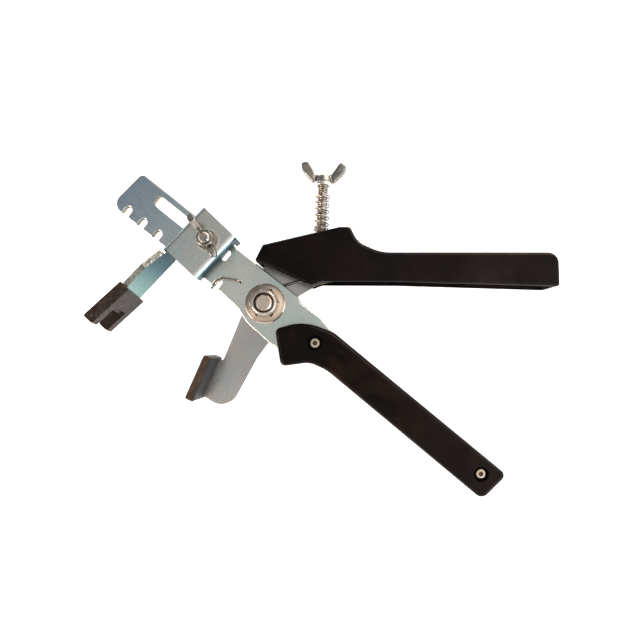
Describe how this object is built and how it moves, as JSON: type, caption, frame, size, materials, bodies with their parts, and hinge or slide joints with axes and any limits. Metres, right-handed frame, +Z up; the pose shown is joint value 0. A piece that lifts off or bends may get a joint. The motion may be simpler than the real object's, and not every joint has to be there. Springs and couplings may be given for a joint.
{
  "type": "tile levelling pliers",
  "caption": "Adjustable traction pliers for tile-levelling wedges: notched bar with sliding forked jaw, padded lever jaw, wing-nut clamp and black handles.",
  "frame": {"origin": "bottom centre of the whole tool as it lies on a table", "axes": "+X along the upper handle to its tail, +Y across the tool to the adjusting screw, +Z up from the table"},
  "size_m": [0.2569, 0.1862, 0.036],
  "materials": {
    "bar_steel": "bright zinc plated sheet",
    "lever_steel": "bright zinc plated sheet",
    "bracket_steel": "bright zinc plated sheet",
    "fastener_steel": "zinc plated, turned",
    "washer_steel": "zinc plated, pressed",
    "spring_steel": "plated wire",
    "cast_zinc": "plated casting",
    "grip_plastic": "moulded, fine satin",
    "handle_plastic": "moulded, fine satin",
    "jaw_rubber": "moulded hard rubber",
    "nylon": "moulded nylon"
  },
  "bodies": {
    "body": {"body_plate": "bar_steel", "grip_front_shell": "grip_plastic", "grip_back_shell": "grip_plastic", "grip_screws": "fastener_steel", "grip_nuts": "fastener_steel", "pivot_bolt": "fastener_steel", "pivot_back_washer": "fastener_steel", "pivot_sleeve": "fastener_steel", "pivot_washer": "washer_steel", "pivot_nut": "fastener_steel", "nut_locking_ring": "nylon", "return_spring": "spring_steel"},
    "lever": {"lever_plate": "lever_steel", "jaw_pad": "jaw_rubber", "upper_handle": "handle_plastic", "handle_screws": "fastener_steel", "adjuster_nut": "fastener_steel", "adjuster_spring": "spring_steel"},
    "adjuster_collar": {"adjuster_washer": "fastener_steel"},
    "adjuster": {"wing_screw": "cast_zinc"},
    "carriage": {"carriage_bracket": "bracket_steel", "fork_shoe": "jaw_rubber", "clamp_bolt": "fastener_steel", "clamp_plate": "bracket_steel"},
    "clamp_collar": {"clamp_washer": "washer_steel"},
    "clamp_nut": {"wing_nut": "cast_zinc"}
  },
  "joints": [
    {"name": "lever_squeeze", "type": "hinge", "parent": "body", "child": "lever", "pos_m": [-0.03379, 0.01355, 0.0129], "axis": [0, 0, 1], "range_deg": [-26, 0], "stiffness_Nm_per_rad": 0.8, "springref_deg": 28.65, "deforming": ["return_spring"]},
    {"name": "carriage_slide", "type": "slide", "parent": "body", "child": "carriage", "axis": [-0.7804, 0.6252, 0], "range_m": [0, 0.0324]},
    {"name": "clamp_lift", "type": "slide", "parent": "carriage", "child": "clamp_collar", "axis": [0, 0, 1], "range_m": [0, 0.003]},
    {"name": "wing_nut_turn", "type": "hinge", "parent": "clamp_collar", "child": "clamp_nut", "pos_m": [-0.06387, 0.04714, 0.0264], "axis": [0, 0, 1], "range_deg": [0, 1080]},
    {"name": "adjuster_travel", "type": "slide", "parent": "lever", "child": "adjuster_collar", "axis": [-0.0489, -0.9988, 0], "range_m": [-0.004, 0.007], "deforming": ["adjuster_spring"]},
    {"name": "adjuster_turn", "type": "hinge", "parent": "adjuster_collar", "child": "adjuster", "pos_m": [-0.00148, 0.07975, 0.0129], "axis": [-0.0489, -0.9988, 0], "range_deg": [-1440, 2520]}
  ],
  "couplings": [
    {"joint": "clamp_lift", "follows": "wing_nut_turn", "m_per_rad": 0.00015915},
    {"joint": "adjuster_travel", "follows": "adjuster_turn", "m_per_rad": 0.00015915}
  ]
}
